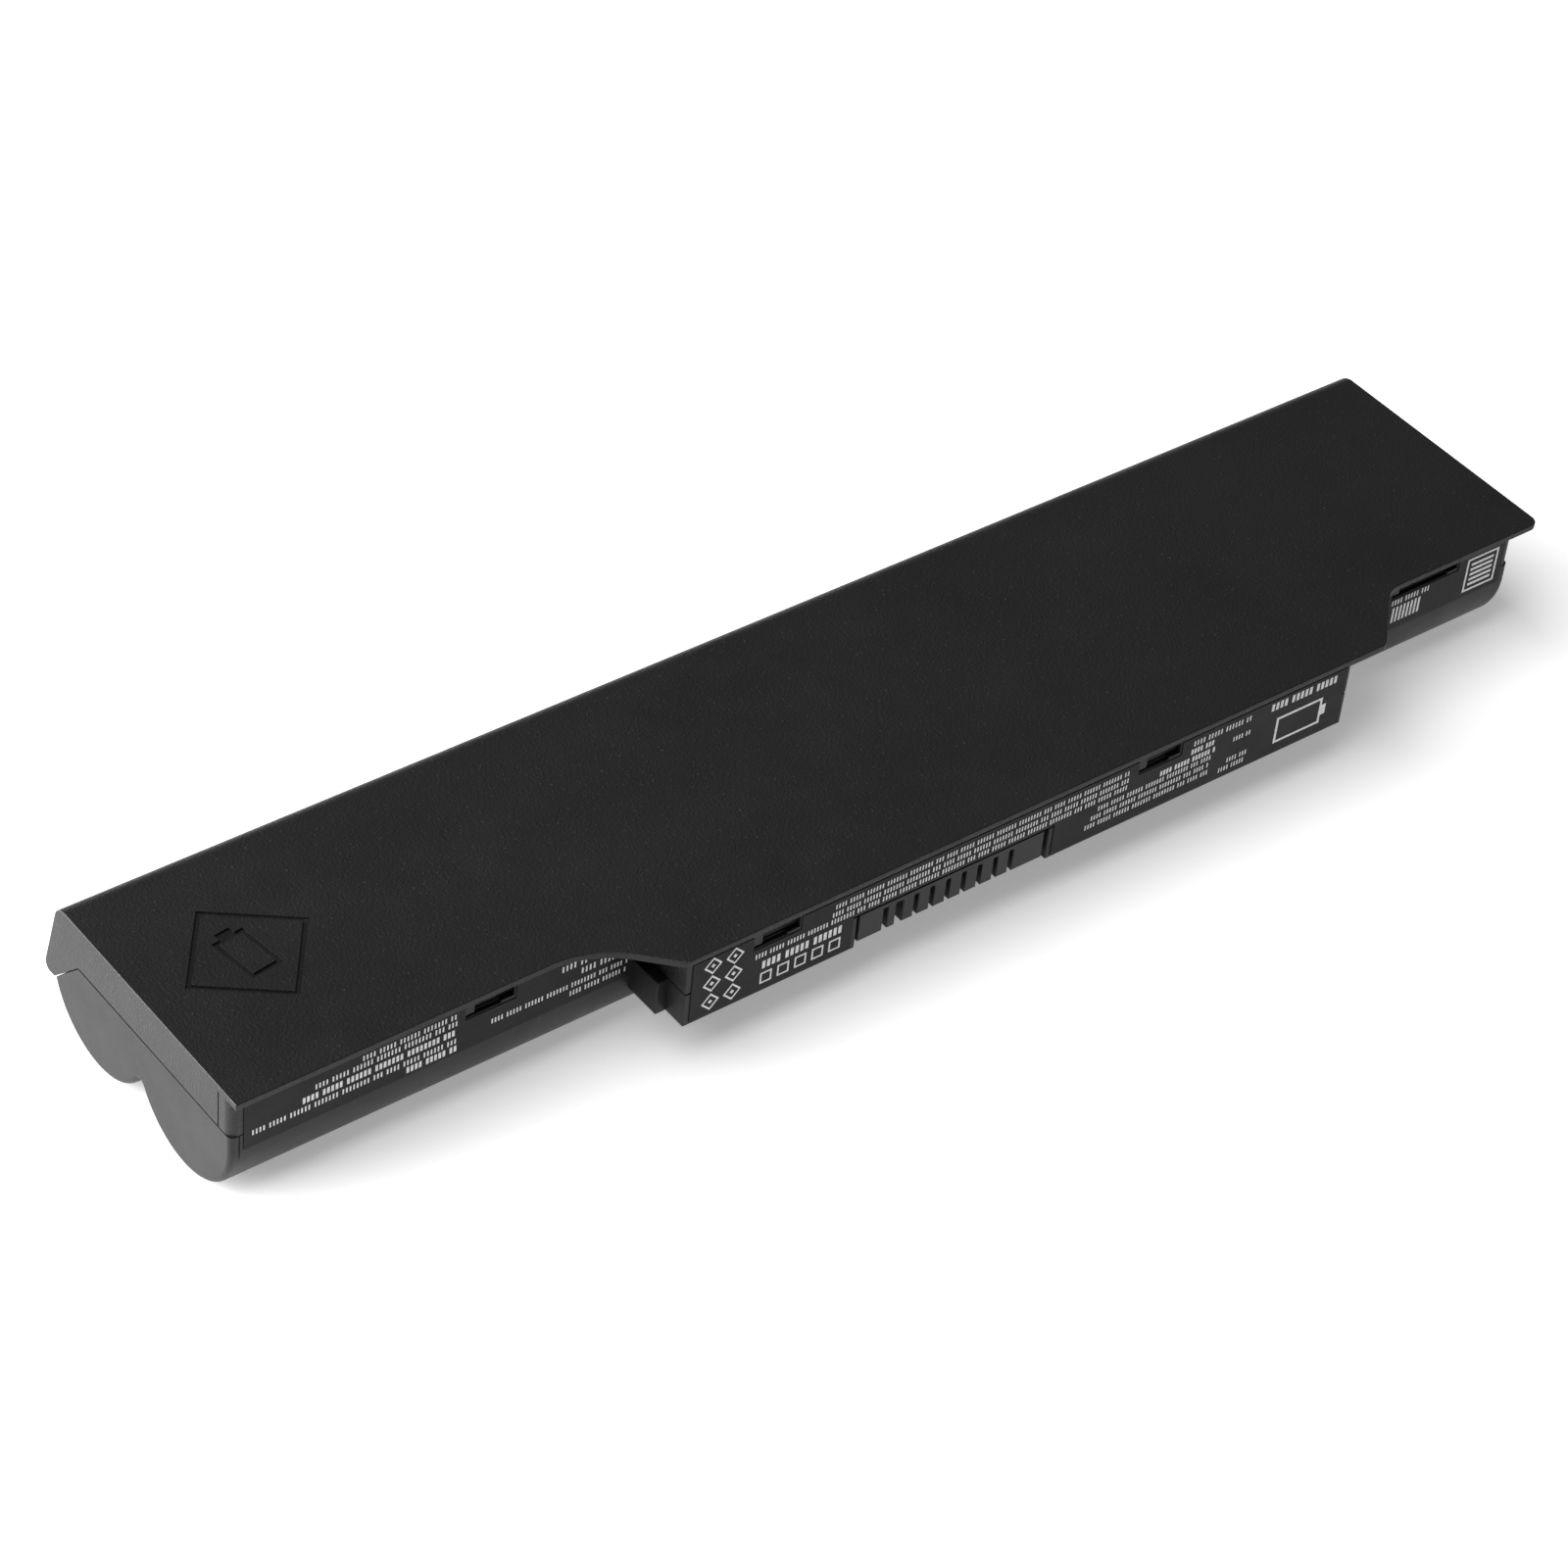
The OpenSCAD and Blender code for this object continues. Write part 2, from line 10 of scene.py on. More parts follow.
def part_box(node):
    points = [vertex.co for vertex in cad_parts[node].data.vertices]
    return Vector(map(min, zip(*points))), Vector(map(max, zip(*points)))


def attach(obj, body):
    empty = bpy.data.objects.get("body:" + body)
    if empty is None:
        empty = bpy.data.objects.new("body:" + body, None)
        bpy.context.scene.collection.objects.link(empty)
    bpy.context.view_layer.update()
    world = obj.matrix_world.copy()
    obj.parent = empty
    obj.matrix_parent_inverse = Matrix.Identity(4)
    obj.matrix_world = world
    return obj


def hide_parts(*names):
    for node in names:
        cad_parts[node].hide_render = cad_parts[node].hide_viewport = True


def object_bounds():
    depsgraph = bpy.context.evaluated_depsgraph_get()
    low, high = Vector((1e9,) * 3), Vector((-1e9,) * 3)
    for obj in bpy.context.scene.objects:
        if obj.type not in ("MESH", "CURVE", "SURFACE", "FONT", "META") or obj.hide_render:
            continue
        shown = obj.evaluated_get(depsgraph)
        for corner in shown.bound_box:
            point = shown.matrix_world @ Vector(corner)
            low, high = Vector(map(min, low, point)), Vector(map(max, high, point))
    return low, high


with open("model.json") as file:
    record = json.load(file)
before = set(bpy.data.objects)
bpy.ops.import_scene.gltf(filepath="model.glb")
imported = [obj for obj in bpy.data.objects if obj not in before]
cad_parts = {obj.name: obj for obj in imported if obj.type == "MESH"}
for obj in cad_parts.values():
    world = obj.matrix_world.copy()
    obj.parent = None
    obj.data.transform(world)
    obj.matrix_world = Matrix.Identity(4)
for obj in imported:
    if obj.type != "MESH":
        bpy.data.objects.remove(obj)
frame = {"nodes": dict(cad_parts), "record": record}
CAD_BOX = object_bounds()

MM = 0.001
PACK = "pack"
LO, HI = CAD_BOX
NODES = frame["nodes"]

# ---------------------------------------------------------------- camera and studio
AIM = Vector((-9.997, 2.75, 10.3)) * MM
CAMERA_DISTANCE = 627.03 * MM
CAMERA_HEADING = -41.263
CAMERA_ELEVATION = 40.755
CAMERA_ROLL = 6.175
CAMERA_LENS = 106.64
SENSOR_WIDTH = 36
CLIP_NEAR = 0.01
CLIP_FAR = 20

FLOOR_HALF = 3.0
FLOOR_DROP = 0.0001
FLOOR_TONE = 0.9
FLOOR_ROUGHNESS = 0.9
FLOOR_SPECULAR = 0.1
FLOOR_GLOW = 0.32
SKY_STRENGTH = 0.12
LIGHTS = (
    # name, place, size, power
    ("key", (-0.75, 0.05, 1.3), (1.3, 1.3), 26),
    ("side", (-1.0, 0.75, 0.18), (1.4, 0.3), 60),
)


def camera_axes():
    """Right, up and backward directions of the camera from its heading, elevation and roll."""
    heading, tilt, roll = (math.radians(a) for a in (CAMERA_HEADING, CAMERA_ELEVATION, CAMERA_ROLL))
    level = math.cos(tilt)
    back = Vector((math.sin(heading) * level, -math.cos(heading) * level, math.sin(tilt)))
    right = Vector((0, 0, 1)).cross(back).normalized()
    up = back.cross(right)
    turned_right = right * math.cos(roll) + up * math.sin(roll)
    return turned_right, back.cross(turned_right), back


def make_camera():
    right, up, back = camera_axes()
    data = bpy.data.cameras.new("camera")
    data.lens = CAMERA_LENS
    data.sensor_width = SENSOR_WIDTH
    data.clip_start = CLIP_NEAR
    data.clip_end = CLIP_FAR
    camera = bpy.data.objects.new("camera", data)
    turn = Matrix((right, up, back)).transposed().to_4x4()
    camera.matrix_world = Matrix.Translation(AIM + back * CAMERA_DISTANCE) @ turn
    bpy.context.scene.collection.objects.link(camera)
    bpy.context.scene.camera = camera


def area_light(name, place, size, power):
    """Rectangular light that points at the origin."""
    data = bpy.data.lights.new(name, "AREA")
    data.shape = "RECTANGLE"
    data.size, data.size_y = size
    data.energy = power
    lamp = bpy.data.objects.new(name, data)
    lamp.location = place
    lamp.rotation_euler = (-Vector(place)).to_track_quat("-Z", "Y").to_euler()
    bpy.context.scene.collection.objects.link(lamp)


def make_floor():
    h = FLOOR_HALF
    mesh = bpy.data.meshes.new("floor")
    mesh.from_pydata([(-h, -h, 0), (h, -h, 0), (h, h, 0), (-h, h, 0)], [], [(0, 1, 2, 3)])
    floor = bpy.data.objects.new("floor", mesh)
    floor.location.z = LO.z - FLOOR_DROP
    bpy.context.scene.collection.objects.link(floor)
    m, _, _, shader = new_material("floor_paint")
    shader.inputs["Base Color"].default_value = (FLOOR_TONE, FLOOR_TONE, FLOOR_TONE, 1)
    shader.inputs["Roughness"].default_value = FLOOR_ROUGHNESS
    shader.inputs["Specular IOR Level"].default_value = FLOOR_SPECULAR
    shader.inputs["Emission Color"].default_value = (1, 1, 1, 1)
    shader.inputs["Emission Strength"].default_value = FLOOR_GLOW
    floor.data.materials.append(m)


def make_studio():
    make_floor()
    world = bpy.data.worlds.new("studio")
    world.use_nodes = True
    sky = world.node_tree.nodes["Background"]
    sky.inputs["Color"].default_value = (1, 1, 1, 1)
    sky.inputs["Strength"].default_value = SKY_STRENGTH
    bpy.context.scene.world = world
    for light in LIGHTS:
        area_light(*light)
    bpy.context.scene.view_settings.view_transform = "Standard"


# ---------------------------------------------------------------- materials
# range of values that covers most of a noise
MID = (0.3, 0.7)
DRIFT_MM = 22
SMEAR_MM = 6
DUST_MM = 0.42
DUST_BAND = (0.70, 0.78)
GRAIN_BAND = (0.55, 0.8)
GRAIN_TINT = 0.35
METAL_LINE_MM = 0.12
METAL_CLOUD_MM = 3.5
METAL_BUMP_MM = 0.008
WEAVE_MM = 0.3
WEAVE_BUMP_MM = 0.01
TRACK_SCALE = 420
TRACK_GAP = 0.02
INK_PATCH_MM = 0.25
INK_BUMP_MM = 0.004
INK_FRESH = (0.80, 0.80, 0.80)
INK_WORN = (0.50, 0.50, 0.50)


def new_material(name):
    m = bpy.data.materials.new(name)
    m.use_nodes = True
    nodes, links = m.node_tree.nodes, m.node_tree.links
    return m, nodes, links, nodes["Principled BSDF"]


def object_coords(nodes):
    return nodes.new("ShaderNodeTexCoord").outputs["Object"]


def noise(nodes, links, coords, size_mm, detail=3.0, roughness=0.5, stretch=(1, 1, 1)):
    """Noise whose features are about size_mm across, stretched along the axes."""
    mapping = nodes.new("ShaderNodeMapping")
    mapping.inputs["Scale"].default_value = [1 / (size_mm * MM * s) for s in stretch]
    links.new(coords, mapping.inputs["Vector"])
    tex = nodes.new("ShaderNodeTexNoise")
    tex.inputs["Scale"].default_value = 1.0
    tex.inputs["Detail"].default_value = detail
    tex.inputs["Roughness"].default_value = roughness
    links.new(mapping.outputs["Vector"], tex.inputs["Vector"])
    return tex.outputs["Fac"]


def remap(nodes, links, value, low, high, out_low=0.0, out_high=1.0):
    node = nodes.new("ShaderNodeMapRange")
    for socket, number in zip(("From Min", "From Max", "To Min", "To Max"), (low, high, out_low, out_high)):
        node.inputs[socket].default_value = number
    links.new(value, node.inputs["Value"])
    return node.outputs["Result"]


def mix_colour(nodes, links, factor, a, b):
    node = nodes.new("ShaderNodeMix")
    node.data_type = "RGBA"
    links.new(factor, node.inputs["Factor"])
    for socket, value in (("A", a), ("B", b)):
        target = [s for s in node.inputs if s.name == socket and s.type == "RGBA"][0]
        if isinstance(value, (tuple, list)):
            target.default_value = (*value, 1)
        else:
            links.new(value, target)
    return [s for s in node.outputs if s.type == "RGBA"][0]


def bump(nodes, links, shader, height, distance_mm):
    node = nodes.new("ShaderNodeBump")
    node.inputs["Strength"].default_value = 1.0
    node.inputs["Distance"].default_value = distance_mm * MM
    links.new(height, node.inputs["Height"])
    links.new(node.outputs["Normal"], shader.inputs["Normal"])


def plastic(name, dark, light, rough, grain_mm, grain_depth, specular=0.5, speck=0.0):
    """Moulded plastic: fine eroded grain, slow drift in tone and gloss, light dust specks."""
    m, nodes, links, shader = new_material(name)
    coords = object_coords(nodes)
    grain = noise(nodes, links, coords, grain_mm, 2.0, 0.6)
    drift = noise(nodes, links, coords, DRIFT_MM, 2.0)
    smear = noise(nodes, links, coords, SMEAR_MM, 4.0, 0.6)
    tone = mix_colour(nodes, links, remap(nodes, links, drift, *MID), dark, light)
    if speck > 0:
        dust = noise(nodes, links, coords, DUST_MM, 1.0)
        bright = tuple(min(1, c * 2.6 + 0.02) for c in light)
        tone = mix_colour(nodes, links, remap(nodes, links, dust, *DUST_BAND, 0, speck), tone, bright)
    peaks = remap(nodes, links, grain, *GRAIN_BAND, 0, GRAIN_TINT)
    tone = mix_colour(nodes, links, peaks, tone, tuple(c * 2 for c in light))
    links.new(tone, shader.inputs["Base Color"])
    gloss = remap(nodes, links, smear, *MID, rough - 0.04, rough + 0.05)
    links.new(gloss, shader.inputs["Roughness"])
    shader.inputs["Specular IOR Level"].default_value = specular
    bump(nodes, links, shader, grain, grain_depth)
    return m


def metal(name, colour, dull, rough, stretch=(8, 1, 1)):
    """Rolled or plated metal: fine lines along the stretched axis, cloudy tarnish."""
    m, nodes, links, shader = new_material(name)
    coords = object_coords(nodes)
    lines = noise(nodes, links, coords, METAL_LINE_MM, 3.0, 0.6, stretch)
    cloud = noise(nodes, links, coords, METAL_CLOUD_MM, 4.0, 0.6)
    links.new(mix_colour(nodes, links, remap(nodes, links, cloud, 0.35, 0.7), colour, dull),
              shader.inputs["Base Color"])
    gloss = remap(nodes, links, lines, *MID, rough - 0.08, rough + 0.1)
    links.new(gloss, shader.inputs["Roughness"])
    shader.inputs["Metallic"].default_value = 1.0
    bump(nodes, links, shader, lines, METAL_BUMP_MM)
    return m


def fibre(name, colour, dark, grain_mm, depth, rough):
    """Paper, foam or wound foil: visible fibres or cells and no gloss."""
    m, nodes, links, shader = new_material(name)
    coords = object_coords(nodes)
    fine = noise(nodes, links, coords, grain_mm, 5.0, 0.7)
    slow = noise(nodes, links, coords, grain_mm * 8, 2.0)
    tone = mix_colour(nodes, links, remap(nodes, links, slow, *MID), colour, dark)
    links.new(tone, shader.inputs["Base Color"])
    gloss = remap(nodes, links, fine, *MID, rough - 0.05, rough + 0.1)
    links.new(gloss, shader.inputs["Roughness"])
    shader.inputs["Specular IOR Level"].default_value = 0.2
    bump(nodes, links, shader, fine, depth)
    return m


def laminate():
    """Circuit board: green mask over a faint track pattern."""
    m, nodes, links, shader = new_material("board_laminate")
    coords = object_coords(nodes)
    tracks = nodes.new("ShaderNodeTexBrick")
    tracks.inputs["Scale"].default_value = TRACK_SCALE
    tracks.inputs["Color1"].default_value = (0.02, 0.16, 0.06, 1)
    tracks.inputs["Color2"].default_value = (0.02, 0.11, 0.05, 1)
    tracks.inputs["Mortar"].default_value = (0.03, 0.22, 0.09, 1)
    tracks.inputs["Mortar Size"].default_value = TRACK_GAP
    links.new(coords, tracks.inputs["Vector"])
    links.new(tracks.outputs["Color"], shader.inputs["Base Color"])
    weave = noise(nodes, links, coords, WEAVE_MM, 2.0)
    links.new(remap(nodes, links, weave, *MID, 0.28, 0.4), shader.inputs["Roughness"])
    bump(nodes, links, shader, weave, WEAVE_BUMP_MM)
    return m


def make_materials():
    return {
        "cover_plastic": plastic("cover_plastic", (0.0082,) * 3, (0.0102,) * 3, 0.46, 0.42, 0.085,
                                 0.28, 0.9),
        "case_plastic": plastic("case_plastic", (0.009,) * 3, (0.011,) * 3, 0.44, 0.26, 0.016, 0.24, 0.5),
        "label_film": plastic("label_film", (0.009,) * 3, (0.011,) * 3, 0.45, 0.5, 0.006, 0.12, 0.3),
        "connector_plastic": plastic("connector_plastic", (0.008,) * 3, (0.011,) * 3, 0.40, 0.2, 0.01, 0.26),
        "contact_gold": metal("contact_gold", (0.83, 0.60, 0.25), (0.62, 0.42, 0.16), 0.28),
        "board_laminate": laminate(),
        "chip_resin": plastic("chip_resin", (0.020,) * 3, (0.032,) * 3, 0.5, 0.15, 0.01),
        "fuse_body": plastic("fuse_body", (0.62, 0.58, 0.46), (0.72, 0.69, 0.56), 0.3, 0.4, 0.008),
        "resistor_body": plastic("resistor_body", (0.02, 0.02, 0.025), (0.04, 0.04, 0.05), 0.45, 0.2, 0.008),
        "capacitor_body": plastic("capacitor_body", (0.36, 0.23, 0.13), (0.48, 0.33, 0.2), 0.5, 0.2, 0.01),
        "thermistor_resin": plastic("thermistor_resin", (0.02,) * 3, (0.04,) * 3, 0.25, 0.8, 0.02),
        "nickel_strip": metal("nickel_strip", (0.70, 0.68, 0.63), (0.52, 0.50, 0.46), 0.32, (1, 8, 1)),
        "wire_black": plastic("wire_black", (0.012,) * 3, (0.02,) * 3, 0.35, 0.4, 0.01),
        "wire_red": plastic("wire_red", (0.42, 0.02, 0.015), (0.55, 0.035, 0.02), 0.35, 0.4, 0.01),
        "insulating_paper": fibre("insulating_paper", (0.72, 0.68, 0.56), (0.58, 0.54, 0.43),
                                  0.15, 0.03, 0.8),
        "foam": fibre("foam", (0.06, 0.06, 0.065), (0.035, 0.035, 0.04), 0.35, 0.12, 0.85),
        "cell_steel": metal("cell_steel", (0.62, 0.63, 0.64), (0.5, 0.5, 0.5), 0.25),
        "cell_sleeve": plastic("cell_sleeve", (0.02, 0.20, 0.11), (0.03, 0.27, 0.15), 0.25, 1.5, 0.02),
        "cell_core": fibre("cell_core", (0.12, 0.07, 0.045), (0.06, 0.035, 0.025), 0.2, 0.02, 0.55),
        "gasket_rubber": fibre("gasket_rubber", (0.03, 0.03, 0.035), (0.02, 0.02, 0.022), 0.2, 0.01, 0.6),
    }


def paint_nodes(materials):
    for row in frame["record"]["subparts"]:
        node = NODES[row["node"]]
        node.data.materials.clear()
        node.data.materials.append(materials[row["material_slot"]])


# ---------------------------------------------------------------- case dimensions, in millimetres
def mm(value):
    return value / MM


X0, X1 = mm(LO.x), mm(HI.x)
NOSE_REACH = 8.9
NOSE_X = (X0 + 61, X0 + 181.6)
NOSE_R_LEFT = 14
NOSE_R_RIGHT = 4.5
NOSE_TIP_R = 1.5
EDGE_Y = mm(LO.y) + NOSE_REACH
FRONT_Y = mm(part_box("label_left")[1].y)
BLOCK_Y = mm(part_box("label_block")[1].y)
TOP = mm(HI.z)
PLATE_T = 1.0
PLATE_Z = TOP - PLATE_T
BACK_TOP_Y = EDGE_Y + 40
BODY_X1 = mm(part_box("lower_case")[1].x)
BACK_Y = mm(HI.y)
REAR_TOP_R = 2.8
REAR_TOP_STOP = 22
CURTAIN_Z = 7.4
CURTAIN_FOOT_R = 1.2
CURTAIN_FOOT_IN = 1.25
CURTAIN_STRAIGHT_Z = CURTAIN_Z + 1.3
CURTAIN_WALL = 2.7
SLOPE_WALL_IN = 0.6
SLOPE_TURN_IN = 1.3
SLOPE_TURN_DROP = 1.2
SHOULDER_Z = 11.4
SEAM_Z = 13.6
SEAM_GAP = 0.15
LOBE_R = 11
LOBE_Y = (FRONT_Y + LOBE_R, FRONT_Y + LOBE_R + 20.4)
VALLEY_Y = (LOBE_Y[0] + LOBE_Y[1]) / 2
VALLEY_R = 0.67
VALLEY_Z = 6 - VALLEY_R
SEAM_TURN_Y = EDGE_Y + 37
SEAM_FOOT_Y = LOBE_Y[1] + math.sqrt(LOBE_R ** 2 - (LOBE_R - CURTAIN_Z) ** 2)
WALL = 1.2
CORNER_R = 1.5
EDGE_R = 0.16
TUB_EDGE_R = 0.8
TUB_RIM_SLOPE = 0.5
FOOT_R = 4
TUB_WALL = 1.1
ROOM_X1 = BODY_X1 - 2 * WALL
BLOCK_X = (X0 + 61.9, X0 + 176.2)
BLOCK_Z = mm(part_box("label_block")[0].z) - 0.5
RAIL_W = 1.6
RAIL_Y = EDGE_Y - 4.2
RECESS_X = (X0 + 89.8, X0 + 122.3)
LATCHES = (
    # centre along X, width, height, depth of the lower edge below the top, wall that it is in
    (X0 + 38.8, 6, 1.7, 3.9, FRONT_Y),
    (X0 + 199.9, 11.4, 1.0, 3.3, FRONT_Y),
    (X0 + 77, 6, 1.7, 3.9, BLOCK_Y),
    (X0 + 142, 6, 1.7, 3.9, BLOCK_Y),
)
LATCH_LIP = 1.3
LATCH_LIP_H = 0.35
LATCH_LIP_STOP = 2
LATCH_BACK = 0.4
LATCH_JOIN = 0.01
MARK_AT = (15.5, 22)
MARK_TURN = 8
MARK_DEPTH = 0.35
MARK_LINE = 0.7
MARK_SIDE = 13.5
MARK_CELL = (5, 8)
MARK_NUB = (2.4, 1.2)
MARK_NUB_RISE = 0.5
END_JOINT_Y = (EDGE_Y + 3.9, EDGE_Y + 4.15)
END_JOINT_DEPTH = 0.25
STEP_X = (X0 + 1.2, X0 + 1.4)
STEP_Z = 8.1
STEP_DEPTH = 0.14
RECESS_BACK_Y = EDGE_Y - 0.3
BAY_DEPTH = 3
INK_T = 0.02
# how far a cutter runs past what it cuts, and how far joined solids overlap
PAST = 1
OVERLAP = 2


# ---------------------------------------------------------------- mesh tools
SHARP_ANGLE = 50


def arc(centre, radius, start, stop, steps=16):
    turn = [math.radians(start + (stop - start) * i / steps) for i in range(steps + 1)]
    return [(centre[0] + radius * math.cos(a), centre[1] + radius * math.sin(a)) for a in turn]


def place_point(axis, a, b, c):
    """Point with coordinate c along the axis, and a and b on the other two."""
    return {"x": (c, a, b), "y": (a, c, b), "z": (a, b, c)}[axis]


def loft(name, sections):
    """Closed solid through outlines of equal length, with points in millimetres."""
    bm = bmesh.new()
    rings = [[bm.verts.new([v * MM for v in point]) for point in ring] for ring in sections]
    bm.faces.new(rings[0])
    bm.faces.new(rings[-1])
    for near, far in zip(rings, rings[1:]):
        for i in range(len(near)):
            j = (i + 1) % len(near)
            bm.faces.new((near[i], near[j], far[j], far[i]))
    bmesh.ops.remove_doubles(bm, verts=bm.verts, dist=1e-8)
    bmesh.ops.recalc_face_normals(bm, faces=bm.faces)
    mesh = bpy.data.meshes.new(name)
    bm.to_mesh(mesh)
    bm.free()
    obj = bpy.data.objects.new(name, mesh)
    bpy.context.scene.collection.objects.link(obj)
    return obj


def prism(name, axis, outline, low, high):
    """Closed solid made by running an outline along an axis."""
    return loft(name, [[place_point(axis, a, b, c) for a, b in outline] for c in (low, high)])


def block(name, low, high):
    outline = [(low[0], low[1]), (high[0], low[1]), (high[0], high[1]), (low[0], high[1])]
    return prism(name, "z", outline, low[2], high[2])


def bake(obj):
    """Applies an object's modifiers."""
    graph = bpy.context.evaluated_depsgraph_get()
    mesh = bpy.data.meshes.new_from_object(obj.evaluated_get(graph))
    obj.modifiers.clear()
    old = obj.data
    obj.data = mesh
    bpy.data.meshes.remove(old)


def combine(base, operation, parts):
    """Joins, cuts or intersects the base with other solids, which are used up."""
    for part in parts:
        step = base.modifiers.new("step", "BOOLEAN")
        step.operation = operation
        step.solver = "EXACT"
        step.object = part
        bake(base)
        bpy.data.objects.remove(part)
    return base


def round_edges(obj, width, segments, planes):
    """Rounds the outward edges that lie in the planes, each an axis and a place in millimetres."""
    def lies_in(edge, axis, place):
        return all(abs(v.co[axis] - place * MM) < 2e-5 for v in edge.verts)

    bm = bmesh.new()
    bm.from_mesh(obj.data)
    bmesh.ops.remove_doubles(bm, verts=bm.verts, dist=2e-6)
    bmesh.ops.dissolve_limit(bm, angle_limit=math.radians(0.2), verts=bm.verts, edges=bm.edges)
    sharp = [e for e in bm.edges if e.is_manifold and e.is_convex and e.calc_face_angle(0) > math.radians(30)
             and any(lies_in(e, *plane) for plane in planes)]
    bmesh.ops.bevel(bm, geom=sharp, offset=width * MM, segments=segments, profile=0.5, affect="EDGES",
                    clamp_overlap=False)
    bmesh.ops.recalc_face_normals(bm, faces=bm.faces)
    bm.to_mesh(obj.data)
    bm.free()


def smooth(obj):
    obj.data.shade_smooth()
    obj.data.set_sharp_from_angle(angle=math.radians(SHARP_ANGLE))
    even = obj.modifiers.new("even", "WEIGHTED_NORMAL")
    even.keep_sharp = True
    even.weight = 100
    bake(obj)


def soften(node, width):
    """Rounds the edges of a box-like CAD node with modifiers; its mesh stays as it is."""
    join = node.modifiers.new("join", "WELD")
    join.merge_threshold = 2e-6
    edge = node.modifiers.new("edge", "BEVEL")
    edge.width = width * MM
    edge.segments = 3
    edge.limit_method = "ANGLE"
    edge.angle_limit = math.radians(40)
    even = node.modifiers.new("even", "WEIGHTED_NORMAL")
    even.weight = 100


def keep(obj, material, slot, *replaced):
    obj.data.materials.clear()
    obj.data.materials.append(material)
    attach(obj, PACK)
    if replaced:
        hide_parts(*replaced)


# ---------------------------------------------------------------- case outlines
def plate_outline():
    """Plan of the cover plate, with the nose over the connector block."""
    def lead(radius):
        return radius * math.tan(math.radians(22.5))

    left, right = NOSE_X[0] - NOSE_REACH, NOSE_X[1] + NOSE_REACH
    big, small, tip, corner = NOSE_R_LEFT, NOSE_R_RIGHT, NOSE_TIP_R, CORNER_R
    nose_y = EDGE_Y - NOSE_REACH
    return ([(X0, EDGE_Y)]
            + arc((left - lead(big), EDGE_Y - big), big, 90, 45)
            + arc((NOSE_X[0] + lead(tip), nose_y + tip), tip, 225, 270, 6)
            + arc((NOSE_X[1] - lead(tip), nose_y + tip), tip, 270, 315, 6)
            + arc((right + lead(small), EDGE_Y - small), small, 135, 90, 10)
            + arc((X1 - corner, EDGE_Y + corner), corner, -90, 0, 8)
            + [(X1, BACK_TOP_Y), (X0, BACK_TOP_Y)])


def curtain_outline():
    """Y-Z outline of the rounded rear of the cover, down to its lower edge."""
    return ([(SEAM_TURN_Y, PLATE_Z), (SEAM_TURN_Y, TOP)]
            + arc((BACK_TOP_Y, TOP - REAR_TOP_R), REAR_TOP_R, 90, REAR_TOP_STOP, 14)
            + [(BACK_Y, CURTAIN_STRAIGHT_Z)]
            + arc((BACK_Y - CURTAIN_FOOT_IN, CURTAIN_Z + CURTAIN_FOOT_R), CURTAIN_FOOT_R, 0, -90, 10)
            + [(SEAM_FOOT_Y + SEAM_GAP / 2, CURTAIN_Z + SEAM_GAP / 2),
               (SEAM_TURN_Y, SEAM_Z + SEAM_GAP / 2)])


def body_plan():
    """Plan of the walls under the plate, with the connector block."""
    r = CORNER_R
    return (arc((X0 + r, FRONT_Y + r), r, 180, 270, 6)
            + [(BLOCK_X[0], FRONT_Y), (BLOCK_X[0], BLOCK_Y)]
            + [(BLOCK_X[1], BLOCK_Y), (BLOCK_X[1], FRONT_Y)]
            + arc((BODY_X1 - r, FRONT_Y + r), r, 270, 360, 6)
            + [(BODY_X1, SEAM_TURN_Y), (X0, SEAM_TURN_Y)])


def tub_section(x, inset, top, floor):
    """Section of the two lobes at x, drawn in by the inset, closed along the joint line."""
    reach = math.degrees(math.atan2(LOBE_R - VALLEY_Z, VALLEY_Y - LOBE_Y[0]))
    radius = LOBE_R - inset
    slope = Vector((SEAM_FOOT_Y - SEAM_TURN_Y, CURTAIN_Z - SEAM_Z)).normalized()
    start = Vector((SEAM_TURN_Y, SEAM_Z - SEAM_GAP / 2)) - Vector((LOBE_Y[1], LOBE_R))
    along = -start.dot(slope) + math.sqrt(start.dot(slope) ** 2 - start.length_squared + radius ** 2)
    foot = start + slope * along
    stop = 360 + math.degrees(math.atan2(foot.y, foot.x))
    outline = ([(LOBE_Y[0] - radius, top)]
               + arc((LOBE_Y[0], LOBE_R), radius, 180, 360 - reach, 48)
               + arc((VALLEY_Y, VALLEY_Z), VALLEY_R + inset, 180 - reach, reach, 8)
               + arc((LOBE_Y[1], LOBE_R), radius, 180 + reach, stop, 48)
               + [(SEAM_TURN_Y - (top - SEAM_Z) * TUB_RIM_SLOPE, top)])
    return [(x, y, max(z, floor)) for y, z in outline]


def tub_solid(name, top):
    """The double lobe with round ends."""
    steps = [math.radians(90 * i / 10) for i in range(11)]
    xs = ([X0 + TUB_EDGE_R * (1 - math.cos(a)) for a in steps]
          + [BODY_X1 - FOOT_R * (1 - math.sin(a)) for a in steps])
    sections = []
    for x in xs:
        into = max(X0 + TUB_EDGE_R - x, x - BODY_X1 + TUB_EDGE_R, 0)
        inset = TUB_EDGE_R - math.sqrt(max(TUB_EDGE_R ** 2 - into ** 2, 0))
        run = max(x - BODY_X1 + FOOT_R, 0)
        floor = FOOT_R - math.sqrt(max(FOOT_R ** 2 - run ** 2, 0))
        sections.append(tub_section(x, inset, top, floor))
    return loft(name, sections)


def cell_room(name, top):
    """Space for the cells inside the lobes, as far as the right end's double wall."""
    return loft(name, [tub_section(x, TUB_WALL, top, 0) for x in (X0 + WALL, ROOM_X1)])


